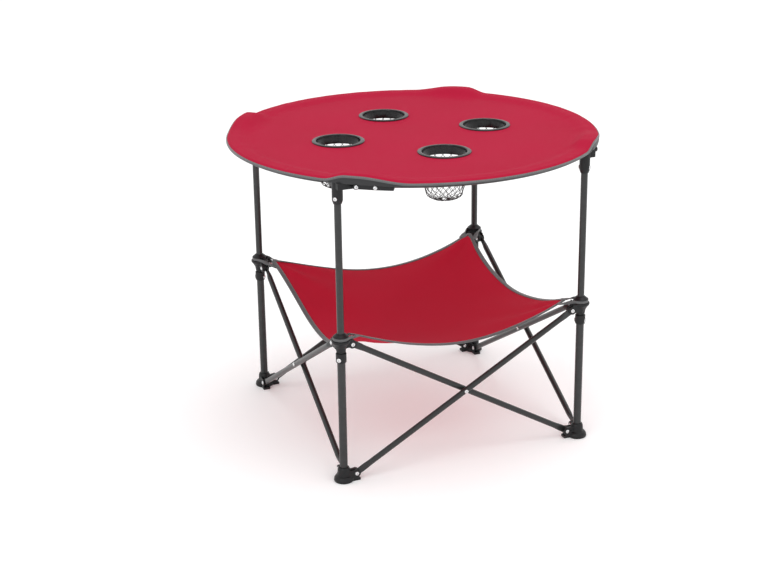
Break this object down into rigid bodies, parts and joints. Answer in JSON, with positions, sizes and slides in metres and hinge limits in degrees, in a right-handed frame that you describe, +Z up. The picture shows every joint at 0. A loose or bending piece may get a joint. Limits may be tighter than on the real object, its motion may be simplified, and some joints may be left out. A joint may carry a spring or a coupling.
{
  "type": "folding camp table",
  "caption": "Round folding camp table with a canvas top, cup holders, a hanging canvas shelf and a steel scissor frame.",
  "frame": {"origin": "on the floor under the middle of the table", "axes": "+Z up; the four uprights stand at the corners of a square along X and Y, the front one at -X -Y"},
  "size_m": [0.7109, 0.711, 0.584],
  "materials": {
    "frame_steel": "dark grey satin powder coat",
    "black_plastic": "black moulded nylon",
    "ring_plastic": "black semi-gloss moulded plastic",
    "rivet_steel": "bright zinc plate",
    "crimson_canvas": "crimson coated polyester canvas with a grey bound hem",
    "pocket_net": "black knotted polyester net",
    "shelf_canvas": "crimson polyester canvas with a grey bound edge"
  },
  "bodies": {
    "upright_front": {"foot_front": "black_plastic", "lower_tube_front": "frame_steel", "upper_tube_front": "frame_steel", "stop_collar_front": "black_plastic", "top_bracket_front": "black_plastic", "upright_rivets_front": "rivet_steel", "canvas_top": "crimson_canvas", "mesh_pockets": "pocket_net", "canvas_shelf": "shelf_canvas"},
    "upright_right": {"foot_right": "black_plastic", "lower_tube_right": "frame_steel", "upper_tube_right": "frame_steel", "stop_collar_right": "black_plastic", "top_bracket_right": "black_plastic", "upright_rivets_right": "rivet_steel"},
    "upright_back": {"foot_back": "black_plastic", "lower_tube_back": "frame_steel", "upper_tube_back": "frame_steel", "stop_collar_back": "black_plastic", "top_bracket_back": "black_plastic", "upright_rivets_back": "rivet_steel"},
    "upright_left": {"foot_left": "black_plastic", "lower_tube_left": "frame_steel", "upper_tube_left": "frame_steel", "stop_collar_left": "black_plastic", "top_bracket_left": "black_plastic", "upright_rivets_left": "rivet_steel"},
    "hub_front": {"hub_front": "black_plastic", "hub_rivets_front": "rivet_steel"},
    "hub_right": {"hub_right": "black_plastic", "hub_rivets_right": "rivet_steel"},
    "hub_back": {"hub_back": "black_plastic", "hub_rivets_back": "rivet_steel"},
    "hub_left": {"hub_left": "black_plastic", "hub_rivets_left": "rivet_steel"},
    "outer_tube_0": {"outer_cross_tube_0": "frame_steel", "crossing_rivet_0": "rivet_steel"},
    "inner_tube_0": {"inner_cross_tube_0": "frame_steel"},
    "outer_tube_1": {"outer_cross_tube_1": "frame_steel", "crossing_rivet_1": "rivet_steel"},
    "inner_tube_1": {"inner_cross_tube_1": "frame_steel"},
    "outer_tube_2": {"outer_cross_tube_2": "frame_steel", "crossing_rivet_2": "rivet_steel"},
    "inner_tube_2": {"inner_cross_tube_2": "frame_steel"},
    "outer_tube_3": {"outer_cross_tube_3": "frame_steel", "crossing_rivet_3": "rivet_steel"},
    "inner_tube_3": {"inner_cross_tube_3": "frame_steel"},
    "rim_0": {"rim_tube_0": "frame_steel", "rim_arm_0": "black_plastic"},
    "rim_1": {"rim_tube_1": "frame_steel", "rim_arm_1": "black_plastic"},
    "rim_2": {"rim_tube_2": "frame_steel", "rim_arm_2": "black_plastic"},
    "rim_3": {"rim_tube_3": "frame_steel", "rim_arm_3": "black_plastic"},
    "cup_0": {"cup_ring_0": "ring_plastic"},
    "cup_1": {"cup_ring_1": "ring_plastic"},
    "cup_2": {"cup_ring_2": "ring_plastic"},
    "cup_3": {"cup_ring_3": "ring_plastic"}
  },
  "joints": [
    {"name": "fold", "type": "hinge", "parent": "upright_front", "child": "outer_tube_0", "pos_m": [-0.221, -0.243, 0.014], "axis": [0, -1, 0], "range_deg": [0, 46], "deforming": ["canvas_top", "mesh_pockets", "canvas_shelf"]},
    {"name": "crossing_0", "type": "hinge", "parent": "outer_tube_0", "child": "inner_tube_0", "pos_m": [0, -0.243, 0.141], "axis": [0, -1, 0], "range_deg": [-92, 0]},
    {"name": "foot_right_pivot", "type": "hinge", "parent": "inner_tube_0", "child": "upright_right", "pos_m": [0.221, -0.243, 0.014], "axis": [0, -1, 0], "range_deg": [0, 46]},
    {"name": "foot_right_next_pivot", "type": "hinge", "parent": "upright_right", "child": "outer_tube_1", "pos_m": [0.243, -0.221, 0.014], "axis": [1, 0, 0], "range_deg": [0, 46]},
    {"name": "crossing_1", "type": "hinge", "parent": "outer_tube_1", "child": "inner_tube_1", "pos_m": [0.243, 0, 0.141], "axis": [1, 0, 0], "range_deg": [-92, 0]},
    {"name": "foot_back_pivot", "type": "hinge", "parent": "inner_tube_1", "child": "upright_back", "pos_m": [0.243, 0.221, 0.014], "axis": [1, 0, 0], "range_deg": [0, 46]},
    {"name": "foot_back_next_pivot", "type": "hinge", "parent": "upright_back", "child": "outer_tube_2", "pos_m": [0.221, 0.243, 0.014], "axis": [0, 1, 0], "range_deg": [0, 46]},
    {"name": "crossing_2", "type": "hinge", "parent": "outer_tube_2", "child": "inner_tube_2", "pos_m": [0, 0.243, 0.141], "axis": [0, 1, 0], "range_deg": [-92, 0]},
    {"name": "foot_front_next_pivot", "type": "hinge", "parent": "upright_front", "child": "inner_tube_3", "pos_m": [-0.243, -0.221, 0.014], "axis": [-1, 0, 0], "range_deg": [-46, 0]},
    {"name": "crossing_3", "type": "hinge", "parent": "inner_tube_3", "child": "outer_tube_3", "pos_m": [-0.243, 0, 0.141], "axis": [-1, 0, 0], "range_deg": [0, 92]},
    {"name": "foot_left_pivot", "type": "hinge", "parent": "outer_tube_3", "child": "upright_left", "pos_m": [-0.243, 0.221, 0.014], "axis": [-1, 0, 0], "range_deg": [-46, 0]},
    {"name": "hub_front_pivot", "type": "hinge", "parent": "inner_tube_0", "child": "hub_front", "pos_m": [-0.221, -0.243, 0.268], "axis": [0, -1, 0], "range_deg": [0, 46]},
    {"name": "hub_right_pivot", "type": "hinge", "parent": "outer_tube_0", "child": "hub_right", "pos_m": [0.221, -0.243, 0.268], "axis": [0, -1, 0], "range_deg": [-46, 0]},
    {"name": "hub_back_pivot", "type": "hinge", "parent": "outer_tube_1", "child": "hub_back", "pos_m": [0.243, 0.221, 0.268], "axis": [1, 0, 0], "range_deg": [-46, 0]},
    {"name": "hub_left_pivot", "type": "hinge", "parent": "inner_tube_3", "child": "hub_left", "pos_m": [-0.243, 0.221, 0.268], "axis": [-1, 0, 0], "range_deg": [0, 46]},
    {"name": "rim_swing_0", "type": "hinge", "parent": "upright_front", "child": "rim_0", "pos_m": [-0.221, -0.26227, 0.5715], "axis": [0, -1, 0], "range_deg": [-84.2, 0]},
    {"name": "rim_swing_1", "type": "hinge", "parent": "upright_right", "child": "rim_1", "pos_m": [0.26227, -0.221, 0.5715], "axis": [1, 0, 0], "range_deg": [-84.2, 0]},
    {"name": "rim_swing_2", "type": "hinge", "parent": "upright_back", "child": "rim_2", "pos_m": [0.221, 0.26227, 0.5715], "axis": [0, 1, 0], "range_deg": [-84.2, 0]},
    {"name": "rim_swing_3", "type": "hinge", "parent": "upright_left", "child": "rim_3", "pos_m": [-0.26227, 0.221, 0.5715], "axis": [-1, 0, 0], "range_deg": [-84.2, 0]},
    {"name": "cup_slide_0", "type": "slide", "parent": "upright_front", "child": "cup_0", "axis": [-0.9913, -0.0427, -0.1248], "range_m": [0, 0.16074]},
    {"name": "cup_slide_1", "type": "slide", "parent": "upright_right", "child": "cup_1", "axis": [0.0402, -0.9347, -0.3531], "range_m": [0, 0.17043]},
    {"name": "cup_slide_2", "type": "slide", "parent": "upright_back", "child": "cup_2", "axis": [0.8457, 0.0364, -0.5324], "range_m": [0, 0.18832]},
    {"name": "cup_slide_3", "type": "slide", "parent": "upright_left", "child": "cup_3", "axis": [-0.0323, 0.7498, -0.6609], "range_m": [0, 0.21234]}
  ],
  "couplings": [
    {"joint": "crossing_0", "follows": "fold", "ratio": -2},
    {"joint": "foot_right_pivot", "follows": "fold", "ratio": 1},
    {"joint": "foot_right_next_pivot", "follows": "fold", "ratio": 1},
    {"joint": "crossing_1", "follows": "fold", "ratio": -2},
    {"joint": "foot_back_pivot", "follows": "fold", "ratio": 1},
    {"joint": "foot_back_next_pivot", "follows": "fold", "ratio": 1},
    {"joint": "crossing_2", "follows": "fold", "ratio": -2},
    {"joint": "foot_front_next_pivot", "follows": "fold", "ratio": -1},
    {"joint": "crossing_3", "follows": "fold", "ratio": 2},
    {"joint": "foot_left_pivot", "follows": "fold", "ratio": -1},
    {"joint": "hub_front_pivot", "follows": "fold", "ratio": 1},
    {"joint": "hub_right_pivot", "follows": "fold", "ratio": -1},
    {"joint": "hub_back_pivot", "follows": "fold", "ratio": -1},
    {"joint": "hub_left_pivot", "follows": "fold", "ratio": 1},
    {"joint": "rim_swing_0", "follows": "fold", "ratio": -1.8261},
    {"joint": "rim_swing_1", "follows": "fold", "ratio": -1.8261},
    {"joint": "rim_swing_2", "follows": "fold", "ratio": -1.8261},
    {"joint": "rim_swing_3", "follows": "fold", "ratio": -1.8261},
    {"joint": "cup_slide_0", "follows": "fold", "m_per_rad": 0.19958},
    {"joint": "cup_slide_1", "follows": "fold", "m_per_rad": 0.21166},
    {"joint": "cup_slide_2", "follows": "fold", "m_per_rad": 0.23394},
    {"joint": "cup_slide_3", "follows": "fold", "m_per_rad": 0.26386}
  ]
}
